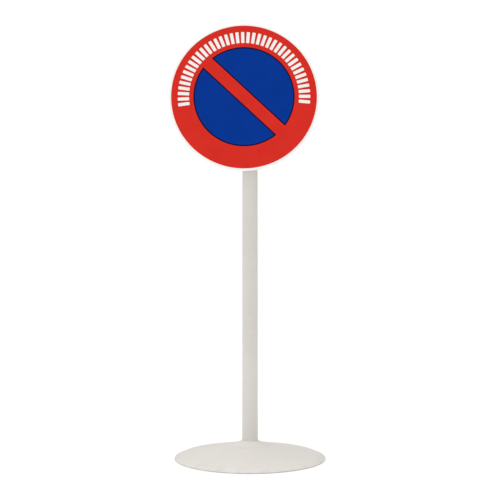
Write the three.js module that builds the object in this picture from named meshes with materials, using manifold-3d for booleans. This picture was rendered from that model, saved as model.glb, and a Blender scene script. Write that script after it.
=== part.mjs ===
// A free-standing signpost. A round sheet-steel sign has two channel rails on its back, and two
// straps clamp the rails to a tubular post. The post stands over a spigot on a low, weighted base
// of spun steel. Millimetres, +Z up, origin on the floor under the post's axis, sign facing -Y.

import * as THREE from "three";
import { mergeVertices } from "three/addons/utils/BufferGeometryUtils.js";
import Module from "manifold-3d";

const wasm = await Module();
wasm.setup();

// ---------------------------------------------------------------- driving dimensions

const GAP = 0.3; // air left where two pieces touch
const LARGE_ROUND = 72; // sides of the base, the ballast and the sign
const MEDIUM_ROUND = 48; // sides of the post and what fits it
const SMALL_ROUND = 20; // sides of bolts, washers and holes
const OVERSHOOT = 1; // how far a cutting tool runs past the faces it cuts

// Base
const BASE_RADIUS = 220;
const BEVEL_WIDTH = 20; // the steeper band between the cone and the rim
const BEVEL_SLOPE = 0.39; // fall of the bevel per unit of radius
const CONE_SLOPE = 0.188; // fall of the cone per unit of radius
const RIM_FLOOR_GAP = 0.8; // the rim's edge hangs this far off the floor
const RIM_LIP = 12; // the sheet turned inwards under the rim
const SHELL_THICKNESS = 2;
const SEAT_MARGIN = 11; // flat of the shell outside the spigot's flange
const SEAT_DROP = 0.8; // how far the seat lies below the cone's inner edge
const MAT_THICKNESS = 3;
const MAT_EDGE_GAP = 4; // between the mat and the rim's lip
const BALLAST_CLEARANCE = 0.5; // between the ballast's top and the shell

// Post
const POST_RADIUS = 23;
const POST_WALL = 2.5;
const POST_TOP_ABOVE_CLAMP = 20; // bare post above the upper strap
const CAP_HEAD = 3;
const CAP_DOME = 2;
const CAP_PLUG = 20;

// Spigot, which the post stands over, and the collar that hides the joint
const FLANGE_REACH = 14; // how far the flange stands out past the post
const FLANGE_THICKNESS = 4;
const SPIGOT_LENGTH = 50;
const SPIGOT_CHAMFER = 3;
const COLLAR_REACH = 10; // how far the collar runs out past the shell's seat
const COLLAR_RISE = 7.3; // from the flange's top to the collar's
const COLLAR_THICKNESS = 1.5;
const COLLAR_EDGE = 0.5; // the collar's outer edge is feathered to this
const COLLAR_LAND = 2; // flat top of the collar round the post
const COLLAR_OVERLAP = 6; // how much of the collar lies along the shell's cone

// Tie bolt from under the ballast up to the anchor in the post
const TIE_RADIUS = 6;
const TIE_HEAD_WIDTH = 19; // across the flats
const TIE_HEAD_HEIGHT = 7.5;
const TIE_WASHER_RADIUS = 18;
const TIE_WASHER_THICKNESS = 3;
const COUNTERBORE_RADIUS = 21;
const COUNTERBORE_DEPTH = 14;
const ANCHOR_THICKNESS = 16;
const ANCHOR_ABOVE_SPIGOT = 4;
const TIE_BEYOND_ANCHOR = 6;

// Countersunk screws that hold the spigot's flange down
const FLANGE_SCREWS = 3;
const FLANGE_SCREW_RADIUS = 3;
const FLANGE_SCREW_HEAD = 5.4;
const FLANGE_SCREW_LENGTH = 18;

// Sign
const SIGN_RADIUS = 225;
const SIGN_HEIGHT = 1070; // the sign's centre above the floor
const SIGN_SHIFT = -18; // the sign hangs a little off the post's axis
const PLATE_THICKNESS = 1.5;
const PLATE_FLANGE = 12; // depth of the turned-back edge
const PLATE_BEND = 3; // outside radius of that bend
const BORDER_WIDTH = 6; // white edge outside the red ring
const FIELD_RADIUS = 152; // blue field
const BAND_WIDTH = 38; // diagonal band
const BAND_ANGLE = -43.3; // degrees from +X, seen from the front
const LAYER_THICKNESS = 0.4;

// Channel rails on the sign's back
const RAIL_SPACING = 180;
const RAIL_END_GAP = 30; // left between a rail's end cap and the plate's edge
const RAIL_HEIGHT = 30;
const RAIL_DEPTH = 14;
const RAIL_WALL = 2;
const SLOT_CLEARANCE = 0.7; // on each side of the bolt
const END_CAP_THICKNESS = 2;
const END_CAP_PLUG = 10;

// Clamps: a strap, two hammer-head bolts, washers, lock washers and nuts
const STRAP_THICKNESS = 3;
const STRAP_HEIGHT = 30;
const STRAP_BEND = 3; // inside radius of the bend into the ear
const STRAP_DRAW = 4; // left between the ear and the rail for tightening
const WASHER_FROM_BEND = 1.7;
const WASHER_FROM_TIP = 5;
const BOLT_RADIUS = 4;
const HOLE_CLEARANCE = 0.5;
const HEAD_IN_SLOT = 0.3; // each side, when the head is passed through the slot before it is turned
const HEAD_IN_RAIL = 2; // each side, once it is turned
const HEAD_THICKNESS = 5;
const WASHER_RADIUS = 8;
const WASHER_THICKNESS = 1.6;
const LOCK_WASHER_RADIUS = 7;
const LOCK_WASHER_THICKNESS = 2;
const LOCK_WASHER_SPLIT = 18; // degrees
const NUT_WIDTH = 13; // across the flats
const NUT_HEIGHT = 6.5;
const BOLT_BEYOND_NUT = 3.5;

// ---------------------------------------------------------------- derived places

const FLANGE_RADIUS = POST_RADIUS + FLANGE_REACH;
const SEAT_RADIUS = FLANGE_RADIUS + SEAT_MARGIN;
const COLLAR_RADIUS = SEAT_RADIUS + COLLAR_REACH;
const FLANGE_SCREW_CIRCLE = POST_RADIUS + FLANGE_REACH / 2;
const CREASE_RADIUS = BASE_RADIUS - BEVEL_WIDTH;
const RIM_TOP = RIM_FLOOR_GAP + SHELL_THICKNESS;
const CREASE_Z = RIM_TOP + BEVEL_WIDTH * BEVEL_SLOPE;
const coneZ = (radius) => CREASE_Z + (CREASE_RADIUS - radius) * CONE_SLOPE;
const SEAT_Z = coneZ(SEAT_RADIUS) - SEAT_DROP;
const FLANGE_Z = SEAT_Z + GAP; // underside of the spigot's flange
const FLANGE_TOP_Z = FLANGE_Z + FLANGE_THICKNESS;
const COLLAR_TOP_Z = FLANGE_TOP_Z + COLLAR_RISE;
const POST_FOOT_Z = FLANGE_TOP_Z + GAP;
const SPIGOT_TOP_Z = FLANGE_TOP_Z + SPIGOT_LENGTH;
const BALLAST_Z = MAT_THICKNESS + GAP;
const POST_BORE = POST_RADIUS - POST_WALL;
const STRAP_BORE = POST_RADIUS + GAP;
const UPPER_CLAMP_Z = SIGN_HEIGHT + RAIL_SPACING / 2;
const LOWER_CLAMP_Z = SIGN_HEIGHT - RAIL_SPACING / 2;
const POST_TOP_Z = UPPER_CLAMP_Z + STRAP_HEIGHT / 2 + POST_TOP_ABOVE_CLAMP;
const RAIL_BACK_Y = -(POST_RADIUS + GAP);
const RAIL_FRONT_Y = RAIL_BACK_Y - RAIL_DEPTH;
const PLATE_FRONT_Y = RAIL_FRONT_Y - GAP - PLATE_THICKNESS;
const EAR_FRONT_Y = RAIL_BACK_Y + STRAP_DRAW;
const EAR_BACK_Y = EAR_FRONT_Y + STRAP_THICKNESS;
const BEND_X = STRAP_BORE + STRAP_THICKNESS + STRAP_BEND;
const BOLT_X = BEND_X + WASHER_FROM_BEND + WASHER_RADIUS;
const EAR_TIP_X = BOLT_X + WASHER_RADIUS + WASHER_FROM_TIP;
const SLOT_WIDTH = 2 * (BOLT_RADIUS + SLOT_CLEARANCE);
const HEAD_WIDTH = SLOT_WIDTH - 2 * HEAD_IN_SLOT;
const HEAD_HEIGHT = RAIL_HEIGHT - 2 * (RAIL_WALL + HEAD_IN_RAIL);
const RAIL_EDGE = (RAIL_SPACING + RAIL_HEIGHT) / 2; // outer edge of a rail from the sign's centre
const RAIL_ROOM = Math.sqrt((SIGN_RADIUS - PLATE_THICKNESS) ** 2 - RAIL_EDGE ** 2);
const RAIL_LENGTH = 2 * (RAIL_ROOM - RAIL_END_GAP - END_CAP_THICKNESS - GAP);

// ---------------------------------------------------------------- materials

function finish(colour, roughness, metalness) {
  return new THREE.MeshStandardMaterial({ color: colour, roughness, metalness });
}
const creamPaint = finish("#e3dfd7", 0.45, 0);
const signWhite = finish("#f4f1ea", 0.35, 0);
const signRed = finish("#d6302a", 0.35, 0);
const signBlue = finish("#07368f", 0.35, 0);
const galvanised = finish("#a4a8aa", 0.5, 1);
const zincPlate = finish("#c3c4be", 0.3, 1);
const castIron = finish("#4a4744", 0.8, 0.6);
const blackRubber = finish("#1d1d1e", 0.9, 0);
const greyPlastic = finish("#3a3c3e", 0.6, 0);

// ---------------------------------------------------------------- shapes and solids

// A ring or disc turned about Y from an anticlockwise list of [radius, height].
function turnedAboutY(profile, sides) {
  const onAxis = profile[0][0] === 0;
  const outline = onAxis ? profile : [...profile, profile[0]];
  return new THREE.LatheGeometry(outline.map(([r, y]) => new THREE.Vector2(r, y)), sides);
}

function turnedAboutZ(profile, sides) {
  return turnedAboutY(profile, sides).rotateX(Math.PI / 2);
}

// Points of an arc from one angle to another, in degrees.
function arc(centreX, centreY, radius, from, to, steps) {
  const points = [];
  for (let i = 0; i <= steps; i++) {
    const angle = THREE.MathUtils.degToRad(from + ((to - from) * i) / steps);
    points.push([centreX + radius * Math.cos(angle), centreY + radius * Math.sin(angle)]);
  }
  return points;
}

function ring(inner, outer, bottom, top) {
  return [[inner, bottom], [outer, bottom], [outer, top], [inner, top]];
}

// A rod along Y from one height to another; with 6 sides it is a hexagon of that corner radius.
function rodAlongY(radius, from, to, sides = SMALL_ROUND) {
  return new THREE.CylinderGeometry(radius, radius, to - from, sides).translate(0, (from + to) / 2, 0);
}

function rodAlongZ(radius, from, to, sides = SMALL_ROUND) {
  return rodAlongY(radius, from, to, sides).rotateX(Math.PI / 2);
}

const cornerRadius = (acrossFlats) => acrossFlats / Math.sqrt(3);

function toSolid(geometry) {
  const bare = geometry.clone();
  bare.deleteAttribute("normal");
  bare.deleteAttribute("uv");
  const merged = mergeVertices(bare);
  return new wasm.Manifold(
    new wasm.Mesh({
      numProp: 3,
      vertProperties: merged.attributes.position.array,
      triVerts: new Uint32Array(merged.index.array),
    }),
  );
}

function toGeometry(solid) {
  const { vertProperties, triVerts } = solid.getMesh();
  const geometry = new THREE.BufferGeometry()
    .setAttribute("position", new THREE.BufferAttribute(vertProperties, 3))
    .setIndex(new THREE.BufferAttribute(triVerts, 1))
    .toNonIndexed();
  geometry.computeVertexNormals();
  return geometry;
}

function cut(geometry, tools) {
  return toGeometry(tools.reduce((solid, tool) => solid.subtract(toSolid(tool)), toSolid(geometry)));
}

function join(geometries) {
  const [first, ...rest] = geometries.map(toSolid);
  return toGeometry(rest.reduce((solid, other) => solid.add(other), first));
}

function piece(group, name, geometry, material) {
  const mesh = new THREE.Mesh(geometry, material);
  mesh.name = name;
  group.add(mesh);
  return mesh;
}

// ---------------------------------------------------------------- base

// The spun cover: a low cone, a steeper bevel and a rim whose sheet turns in under itself.
function baseShell() {
  const edge = SHELL_THICKNESS / 2;
  const rimCentre = BASE_RADIUS - edge;
  const lipInner = BASE_RADIUS - RIM_LIP;
  return [
    [POST_RADIUS + HOLE_CLEARANCE, SEAT_Z - SHELL_THICKNESS],
    [SEAT_RADIUS, SEAT_Z - SHELL_THICKNESS],
    [SEAT_RADIUS + SHELL_THICKNESS, coneZ(SEAT_RADIUS + SHELL_THICKNESS) - SHELL_THICKNESS],
    [CREASE_RADIUS, CREASE_Z - SHELL_THICKNESS],
    [BASE_RADIUS - SHELL_THICKNESS / BEVEL_SLOPE, RIM_TOP],
    [lipInner, RIM_TOP],
    [lipInner, RIM_FLOOR_GAP],
    ...arc(rimCentre, RIM_FLOOR_GAP + edge, edge, -90, 60, 5),
    [CREASE_RADIUS, CREASE_Z],
    [SEAT_RADIUS + SHELL_THICKNESS, coneZ(SEAT_RADIUS + SHELL_THICKNESS)],
    [SEAT_RADIUS, SEAT_Z],
    [POST_RADIUS + HOLE_CLEARANCE, SEAT_Z],
  ];
}

// The iron weight under the cover, with its counterbore for the tie bolt's head.
function ballast() {
  const top = SEAT_Z - SHELL_THICKNESS - BALLAST_CLEARANCE;
  const outer = CREASE_RADIUS - SHELL_THICKNESS;
  const underCone = (radius) => coneZ(radius) - SHELL_THICKNESS - BALLAST_CLEARANCE;
  const bore = TIE_RADIUS + HOLE_CLEARANCE;
  return [
    [bore, BALLAST_Z + COUNTERBORE_DEPTH],
    [COUNTERBORE_RADIUS, BALLAST_Z + COUNTERBORE_DEPTH],
    [COUNTERBORE_RADIUS, BALLAST_Z],
    [outer, BALLAST_Z],
    [outer, underCone(outer)],
    [SEAT_RADIUS + SHELL_THICKNESS, underCone(SEAT_RADIUS + SHELL_THICKNESS)],
    [SEAT_RADIUS, top],
    [bore, top],
  ];
}

function spigot() {
  const radius = POST_BORE - GAP;
  const bore = TIE_RADIUS + HOLE_CLEARANCE;
  return [
    [bore, FLANGE_Z],
    [FLANGE_RADIUS, FLANGE_Z],
    [FLANGE_RADIUS, FLANGE_TOP_Z],
    [radius, FLANGE_TOP_Z],
    [radius, SPIGOT_TOP_Z - SPIGOT_CHAMFER],
    [radius - SPIGOT_CHAMFER, SPIGOT_TOP_Z],
    [bore, SPIGOT_TOP_Z],
  ];
}

// The thin cone round the post's foot. Its outer edge lies along the shell's own cone.
function neckCollar() {
  const hole = POST_RADIUS + GAP;
  const edgeBottom = coneZ(COLLAR_RADIUS) + GAP;
  const landEnd = hole + COLLAR_LAND;
  const bendRadius = COLLAR_RADIUS - COLLAR_OVERLAP;
  return [
    [hole, COLLAR_TOP_Z - COLLAR_THICKNESS],
    [landEnd, COLLAR_TOP_Z - COLLAR_THICKNESS],
    [bendRadius, coneZ(bendRadius) + GAP],
    [COLLAR_RADIUS, edgeBottom],
    [COLLAR_RADIUS, edgeBottom + COLLAR_EDGE],
    [landEnd, COLLAR_TOP_Z],
    [hole, COLLAR_TOP_Z],
  ];
}

// A countersunk screw with its head's face at height 0, grown by a gap on every side.
function flangeScrew(gap) {
  const radius = FLANGE_SCREW_RADIUS + gap;
  const coneGap = gap * Math.SQRT2; // the gap measured up or down the 45 degree cone
  return [
    [0, -FLANGE_SCREW_LENGTH - gap],
    [radius, -FLANGE_SCREW_LENGTH - gap],
    [radius, radius - FLANGE_SCREW_HEAD - coneGap],
    [FLANGE_SCREW_HEAD + gap + coneGap, gap],
    [0, gap],
  ];
}

function makeBase() {
  const group = new THREE.Group();
  const matRadius = BASE_RADIUS - RIM_LIP - MAT_EDGE_GAP;
  const screwTop = FLANGE_TOP_Z - GAP;

  const screwPlaces = Array.from({ length: FLANGE_SCREWS }, (_, i) => {
    const angle = ((i + 0.5) / FLANGE_SCREWS) * 2 * Math.PI;
    return [FLANGE_SCREW_CIRCLE * Math.cos(angle), FLANGE_SCREW_CIRCLE * Math.sin(angle), screwTop];
  });
  const screwHoles = () =>
    screwPlaces.map((place) => turnedAboutZ(flangeScrew(GAP), SMALL_ROUND).translate(...place));

  const mat = [[0, 0], [matRadius, 0], [matRadius, MAT_THICKNESS], [0, MAT_THICKNESS]];
  piece(group, "floor_mat", turnedAboutZ(mat, LARGE_ROUND), blackRubber);
  piece(group, "ballast", cut(turnedAboutZ(ballast(), LARGE_ROUND), screwHoles()), castIron);
  piece(group, "base_shell", cut(turnedAboutZ(baseShell(), LARGE_ROUND), screwHoles()), creamPaint);
  piece(group, "spigot", cut(turnedAboutZ(spigot(), MEDIUM_ROUND), screwHoles()), galvanised);
  piece(group, "neck_collar", turnedAboutZ(neckCollar(), MEDIUM_ROUND), creamPaint);
  screwPlaces.forEach((place, i) => {
    const screw = turnedAboutZ(flangeScrew(0), SMALL_ROUND);
    piece(group, `flange_screw_${i + 1}`, screw, zincPlate).position.set(...place);
  });

  const washerTop = BALLAST_Z + COUNTERBORE_DEPTH - GAP;
  const washerBottom = washerTop - TIE_WASHER_THICKNESS;
  const washer = ring(TIE_RADIUS + GAP, TIE_WASHER_RADIUS, washerBottom, washerTop);
  piece(group, "tie_washer", turnedAboutZ(washer, SMALL_ROUND), zincPlate);

  const headTop = washerBottom - GAP;
  const tieEnd = SPIGOT_TOP_Z + ANCHOR_ABOVE_SPIGOT + ANCHOR_THICKNESS + TIE_BEYOND_ANCHOR;
  const head = rodAlongZ(cornerRadius(TIE_HEAD_WIDTH), headTop - TIE_HEAD_HEIGHT, headTop, 6);
  const shank = rodAlongZ(TIE_RADIUS, headTop - TIE_HEAD_HEIGHT / 2, tieEnd);
  piece(group, "tie_bolt", join([head, shank]), zincPlate);
  return group;
}

// ---------------------------------------------------------------- post

function makePost() {
  const group = new THREE.Group();
  const tube = ring(POST_BORE, POST_RADIUS, POST_FOOT_Z, POST_TOP_Z);
  piece(group, "post_tube", turnedAboutZ(tube, MEDIUM_ROUND), creamPaint);

  const plugRadius = POST_BORE - GAP;
  const seat = POST_TOP_Z + GAP;
  const cap = [
    [0, POST_TOP_Z - CAP_PLUG],
    [plugRadius, POST_TOP_Z - CAP_PLUG],
    [plugRadius, seat],
    [POST_RADIUS, seat],
    [POST_RADIUS, seat + CAP_HEAD - CAP_DOME],
    [POST_RADIUS - CAP_DOME, seat + CAP_HEAD],
    [0, seat + CAP_HEAD],
  ];
  piece(group, "post_cap", turnedAboutZ(cap, MEDIUM_ROUND), greyPlastic);

  const anchorBottom = SPIGOT_TOP_Z + ANCHOR_ABOVE_SPIGOT;
  const anchor = ring(TIE_RADIUS + GAP, plugRadius, anchorBottom, anchorBottom + ANCHOR_THICKNESS);
  piece(group, "post_anchor", turnedAboutZ(anchor, MEDIUM_ROUND), galvanised);
  return group;
}

// ---------------------------------------------------------------- clamps

// The strap's outline from above: an arch round the back of the post, with an ear at each side.
function strapOutline() {
  const outer = STRAP_BORE + STRAP_THICKNESS;
  const bendY = EAR_BACK_Y + STRAP_BEND;
  const inside = STRAP_BEND + STRAP_THICKNESS;
  const quarter = Math.PI / 2;
  const shape = new THREE.Shape();
  shape.moveTo(EAR_TIP_X, EAR_FRONT_Y);
  shape.lineTo(EAR_TIP_X, EAR_BACK_Y);
  shape.absarc(BEND_X, bendY, STRAP_BEND, -quarter, -2 * quarter, true);
  shape.absarc(0, 0, outer, 0, 2 * quarter, false);
  shape.absarc(-BEND_X, bendY, STRAP_BEND, 0, -quarter, true);
  shape.lineTo(-EAR_TIP_X, EAR_BACK_Y);
  shape.lineTo(-EAR_TIP_X, EAR_FRONT_Y);
  shape.absarc(-BEND_X, bendY, inside, -quarter, 0, false);
  shape.absarc(0, 0, STRAP_BORE, 2 * quarter, 0, true);
  shape.absarc(BEND_X, bendY, inside, 2 * quarter, 3 * quarter, false);
  shape.closePath();
  return shape;
}

function strap() {
  const arch = new THREE.ExtrudeGeometry(strapOutline(), {
    depth: STRAP_HEIGHT,
    bevelEnabled: false,
    curveSegments: 6,
  }).translate(0, 0, -STRAP_HEIGHT / 2);
  const holeRadius = BOLT_RADIUS + HOLE_CLEARANCE;
  const hole = rodAlongY(holeRadius, EAR_FRONT_Y - OVERSHOOT, EAR_BACK_Y + OVERSHOOT);
  return cut(arch, [hole.clone().translate(-BOLT_X, 0, 0), hole.clone().translate(BOLT_X, 0, 0)]);
}

// A split ring, lying with its axis along Y from height 0.
function lockWasher() {
  const half = THREE.MathUtils.degToRad(LOCK_WASHER_SPLIT / 2);
  const shape = new THREE.Shape();
  shape.absarc(0, 0, LOCK_WASHER_RADIUS, half, 2 * Math.PI - half, false);
  shape.absarc(0, 0, BOLT_RADIUS + GAP, 2 * Math.PI - half, half, true);
  shape.closePath();
  return new THREE.ExtrudeGeometry(shape, {
    depth: LOCK_WASHER_THICKNESS,
    bevelEnabled: false,
    curveSegments: SMALL_ROUND / 2,
  }).rotateX(-Math.PI / 2);
}

// One bolt with its washer, lock washer and nut, stacked along +Y from the rail's slot.
function addBolt(group, place, x) {
  const headFront = RAIL_BACK_Y - RAIL_WALL - GAP - HEAD_THICKNESS;
  const washerY = EAR_BACK_Y + GAP;
  const lockY = washerY + WASHER_THICKNESS + GAP;
  const nutY = lockY + LOCK_WASHER_THICKNESS + GAP;
  const boltEnd = nutY + NUT_HEIGHT + BOLT_BEYOND_NUT;

  const stack = new THREE.Group();
  stack.position.x = x;
  group.add(stack);

  const head = new THREE.BoxGeometry(HEAD_WIDTH, HEAD_THICKNESS, HEAD_HEIGHT);
  head.translate(0, headFront + HEAD_THICKNESS / 2, 0);
  const shank = rodAlongY(BOLT_RADIUS, headFront + HEAD_THICKNESS / 2, boltEnd);
  piece(stack, `bolt_${place}`, join([head, shank]), zincPlate);

  const washer = ring(BOLT_RADIUS + GAP, WASHER_RADIUS, 0, WASHER_THICKNESS);
  piece(stack, `washer_${place}`, turnedAboutY(washer, SMALL_ROUND), zincPlate).position.y = washerY;
  piece(stack, `lock_washer_${place}`, lockWasher(), zincPlate).position.y = lockY;

  const hexagon = rodAlongY(cornerRadius(NUT_WIDTH), 0, NUT_HEIGHT, 6);
  const nut = cut(hexagon, [rodAlongY(BOLT_RADIUS + GAP, -OVERSHOOT, NUT_HEIGHT + OVERSHOOT)]);
  piece(stack, `nut_${place}`, nut, zincPlate).position.y = nutY;
}

function makeClamps() {
  const clamps = new THREE.Group();
  for (const [level, height] of [["upper", UPPER_CLAMP_Z], ["lower", LOWER_CLAMP_Z]]) {
    const group = new THREE.Group();
    group.position.z = height;
    clamps.add(group);
    piece(group, `strap_${level}`, strap(), galvanised);
    addBolt(group, `${level}_left`, -BOLT_X);
    addBolt(group, `${level}_right`, BOLT_X);
  }
  return clamps;
}

// ---------------------------------------------------------------- sign

// The pressed disc with its edge turned back. Height 0 is its front face.
function signPlate() {
  const bend = SIGN_RADIUS - PLATE_BEND;
  const inside = PLATE_BEND - PLATE_THICKNESS;
  return [
    [0, 0],
    ...arc(bend, PLATE_BEND, PLATE_BEND, -90, 0, 3),
    [SIGN_RADIUS, PLATE_FLANGE],
    [SIGN_RADIUS - PLATE_THICKNESS, PLATE_FLANGE],
    ...arc(bend, PLATE_BEND, inside, 0, -90, 2),
    [0, PLATE_THICKNESS],
  ];
}

// A segment of a disc on one side of the diagonal band, which runs along X here.
function segment(radius, halfBand, side) {
  const lift = Math.asin(halfBand / radius);
  const turn = side > 0 ? 0 : Math.PI;
  const path = new THREE.Shape();
  path.absarc(0, 0, radius, turn + lift, turn + Math.PI - lift, false);
  path.closePath();
  return path;
}

// A colour layer, lying against the plate's front.
function layer(shape) {
  return new THREE.ExtrudeGeometry(shape, {
    depth: LAYER_THICKNESS,
    bevelEnabled: false,
    curveSegments: LARGE_ROUND / 2,
  });
}

function channelRail() {
  const half = RAIL_HEIGHT / 2;
  const inner = half - RAIL_WALL;
  const slot = SLOT_WIDTH / 2;
  const lip = RAIL_DEPTH - RAIL_WALL;
  const section = new THREE.Shape(
    [
      [-half, 0], [half, 0], [half, RAIL_DEPTH], [slot, RAIL_DEPTH], [slot, lip], [inner, lip],
      [inner, RAIL_WALL], [-inner, RAIL_WALL], [-inner, lip], [-slot, lip], [-slot, RAIL_DEPTH],
      [-half, RAIL_DEPTH],
    ].map(([x, y]) => new THREE.Vector2(x, y)),
  );
  return new THREE.ExtrudeGeometry(section, { depth: RAIL_LENGTH, bevelEnabled: false })
    .rotateY(Math.PI / 2)
    .translate(-RAIL_LENGTH / 2, 0, 0);
}

// The plug that closes one end of a rail, at the rail's +X end.
function railEndCap() {
  const inner = RAIL_HEIGHT - 2 * (RAIL_WALL + GAP);
  const depth = RAIL_DEPTH - 2 * (RAIL_WALL + GAP);
  const plate = new THREE.BoxGeometry(END_CAP_THICKNESS, RAIL_DEPTH, RAIL_HEIGHT);
  plate.translate(GAP + END_CAP_THICKNESS / 2, RAIL_DEPTH / 2, 0);
  const reach = END_CAP_PLUG + GAP + END_CAP_THICKNESS / 2;
  const plug = new THREE.BoxGeometry(reach, depth, inner);
  plug.translate(GAP + END_CAP_THICKNESS / 2 - reach / 2, RAIL_DEPTH / 2, 0);
  return join([plate, plug]);
}

function makeSign() {
  const sign = new THREE.Group();
  sign.position.set(SIGN_SHIFT, PLATE_FRONT_Y, SIGN_HEIGHT);
  piece(sign, "sign_plate", turnedAboutY(signPlate(), LARGE_ROUND), signWhite);

  const graphics = new THREE.Group();
  graphics.position.y = -GAP;
  graphics.rotation.set(Math.PI / 2, 0, THREE.MathUtils.degToRad(BAND_ANGLE));
  sign.add(graphics);

  const ringAndBand = new THREE.Shape();
  ringAndBand.absarc(0, 0, SIGN_RADIUS - BORDER_WIDTH, 0, 2 * Math.PI, false);
  ringAndBand.holes.push(segment(FIELD_RADIUS, BAND_WIDTH / 2, 1));
  ringAndBand.holes.push(segment(FIELD_RADIUS, BAND_WIDTH / 2, -1));
  piece(graphics, "red_layer", layer(ringAndBand), signRed);
  const fieldRadius = FIELD_RADIUS - GAP;
  const fieldBand = BAND_WIDTH / 2 + GAP;
  piece(graphics, "blue_layer_upper", layer(segment(fieldRadius, fieldBand, 1)), signBlue);
  piece(graphics, "blue_layer_lower", layer(segment(fieldRadius, fieldBand, -1)), signBlue);

  for (const [level, side] of [["upper", 1], ["lower", -1]]) {
    const rail = new THREE.Group();
    rail.position.set(0, PLATE_THICKNESS + GAP, (side * RAIL_SPACING) / 2);
    sign.add(rail);
    piece(rail, `rail_${level}`, channelRail(), galvanised);
    for (const [hand, turn] of [["right", 0], ["left", Math.PI]]) {
      const cap = piece(rail, `rail_cap_${level}_${hand}`, railEndCap(), greyPlastic);
      cap.rotation.z = turn;
      cap.position.x = Math.cos(turn) * (RAIL_LENGTH / 2);
      cap.position.y = turn ? RAIL_DEPTH : 0;
    }
  }
  return sign;
}

// ---------------------------------------------------------------- assembly

const signpost = new THREE.Group();
signpost.add(makeBase(), makePost(), makeClamps(), makeSign());

export default signpost;
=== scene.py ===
from math import asin, cos, degrees, pi, radians, sin, tan

import bmesh
import bpy
from mathutils import Matrix, Vector


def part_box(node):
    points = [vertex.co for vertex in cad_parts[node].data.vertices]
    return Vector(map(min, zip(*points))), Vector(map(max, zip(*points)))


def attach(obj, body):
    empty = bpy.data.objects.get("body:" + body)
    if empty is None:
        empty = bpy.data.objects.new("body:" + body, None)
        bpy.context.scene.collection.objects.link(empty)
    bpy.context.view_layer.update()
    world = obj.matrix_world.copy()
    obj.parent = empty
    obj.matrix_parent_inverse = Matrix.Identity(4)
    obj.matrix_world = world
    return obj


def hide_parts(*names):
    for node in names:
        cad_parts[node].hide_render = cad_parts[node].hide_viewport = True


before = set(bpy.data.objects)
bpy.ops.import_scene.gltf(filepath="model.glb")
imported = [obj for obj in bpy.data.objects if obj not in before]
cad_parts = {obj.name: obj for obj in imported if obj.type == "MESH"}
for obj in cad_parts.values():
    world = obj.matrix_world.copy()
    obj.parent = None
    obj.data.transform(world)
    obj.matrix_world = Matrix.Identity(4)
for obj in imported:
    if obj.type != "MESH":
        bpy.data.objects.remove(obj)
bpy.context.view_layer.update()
scene = bpy.context.scene
MM = 0.001


# ---------------------------------------- rubber mat
# A disc of black rubber, moulded with a grid of round studs underneath. It is glued to the bottom
# of the iron weight, so that the stand grips the floor and doesn't scratch it.


class Value:
    """What one socket gives out. A sum written with it adds the Math nodes that work it out."""

    def __init__(self, graph, socket):
        self.graph = graph
        self.socket = socket

    def __add__(self, other):
        return self.graph.maths("ADD", self, other)

    def __sub__(self, other):
        return self.graph.maths("SUBTRACT", self, other)

    def __rsub__(self, other):
        return self.graph.maths("SUBTRACT", other, self)

    def __mul__(self, other):
        return self.graph.maths("MULTIPLY", self, other)

    def __truediv__(self, other):
        return self.graph.maths("DIVIDE", self, other)

    def __rtruediv__(self, other):
        return self.graph.maths("DIVIDE", other, self)

    def __lt__(self, other):
        return self.graph.maths("LESS_THAN", self, other)

    __radd__ = __add__
    __rmul__ = __mul__


class Graph:
    """A node tree, for a material or for Geometry Nodes."""

    def __init__(self, tree):
        self.tree = tree

    def node(self, kind, settings=None, inputs=None, output=0):
        made = self.tree.nodes.new(kind)
        for name, value in (settings or {}).items():
            setattr(made, name, value)
        for name, value in (inputs or {}).items():
            if isinstance(value, Value):
                self.tree.links.new(value.socket, made.inputs[name])
            else:
                made.inputs[name].default_value = value
        return Value(self, made.outputs[output])

    def maths(self, operation, *values):
        return self.node("ShaderNodeMath", {"operation": operation}, dict(enumerate(values)))

    def parts(self, vector):
        """A vector's x, y and z."""
        made = self.node("ShaderNodeSeparateXYZ", {}, {"Vector": vector}).socket.node
        return [Value(self, socket) for socket in made.outputs]


class Finish(Graph):
    """A material. Its patterns read Object coordinates, measured from a centre in metres."""

    def __init__(self, name, centre=(0, 0, 0)):
        self.material = bpy.data.materials.new(name)
        self.material.use_nodes = True
        super().__init__(self.material.node_tree)
        self.shader = self.tree.nodes["Principled BSDF"]
        here = self.node("ShaderNodeTexCoord", output="Object")
        shift = tuple(-value for value in centre)
        self.place = self.node("ShaderNodeMapping", {}, {"Vector": here, "Location": shift})
        self.x, self.y, self.z = self.parts(self.place)

    def noise(self, size, detail=2, stretch=(1, 1, 1)):
        """Cloudy noise from 0 to 1 whose blotches are about as large as size, in metres."""
        place = self.node("ShaderNodeMapping", {}, {"Vector": self.place, "Scale": stretch})
        inputs = {"Vector": place, "Scale": 1 / size, "Detail": detail}
        return self.node("ShaderNodeTexNoise", {}, inputs)

    def step(self, value, low, high):
        """0 where value is under low, 1 where it is over high, and smooth in between."""
        inputs = {0: value, 1: low, 2: high}
        return self.node("ShaderNodeMapRange", {"interpolation_type": "SMOOTHSTEP"}, inputs)

    def mix(self, share, first, second):
        inputs = {0: share, 6: first, 7: second}
        return self.node("ShaderNodeMix", {"data_type": "RGBA"}, inputs, output=2)

    def bump(self, height, depth, under=None):
        """A normal for relief of that depth, in metres, where height goes from 0 to 1."""
        inputs = {"Height": height, "Distance": depth, "Strength": 1.0}
        if under:
            inputs["Normal"] = under
        return self.node("ShaderNodeBump", {}, inputs)

    def feed(self, **sockets):
        """Sets or links the shader's sockets. Base_Color stands for Base Color."""
        for name, value in sockets.items():
            socket = self.shader.inputs[name.replace("_", " ")]
            if isinstance(value, Value):
                self.tree.links.new(value.socket, socket)
            else:
                socket.default_value = value
        return self.material


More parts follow.
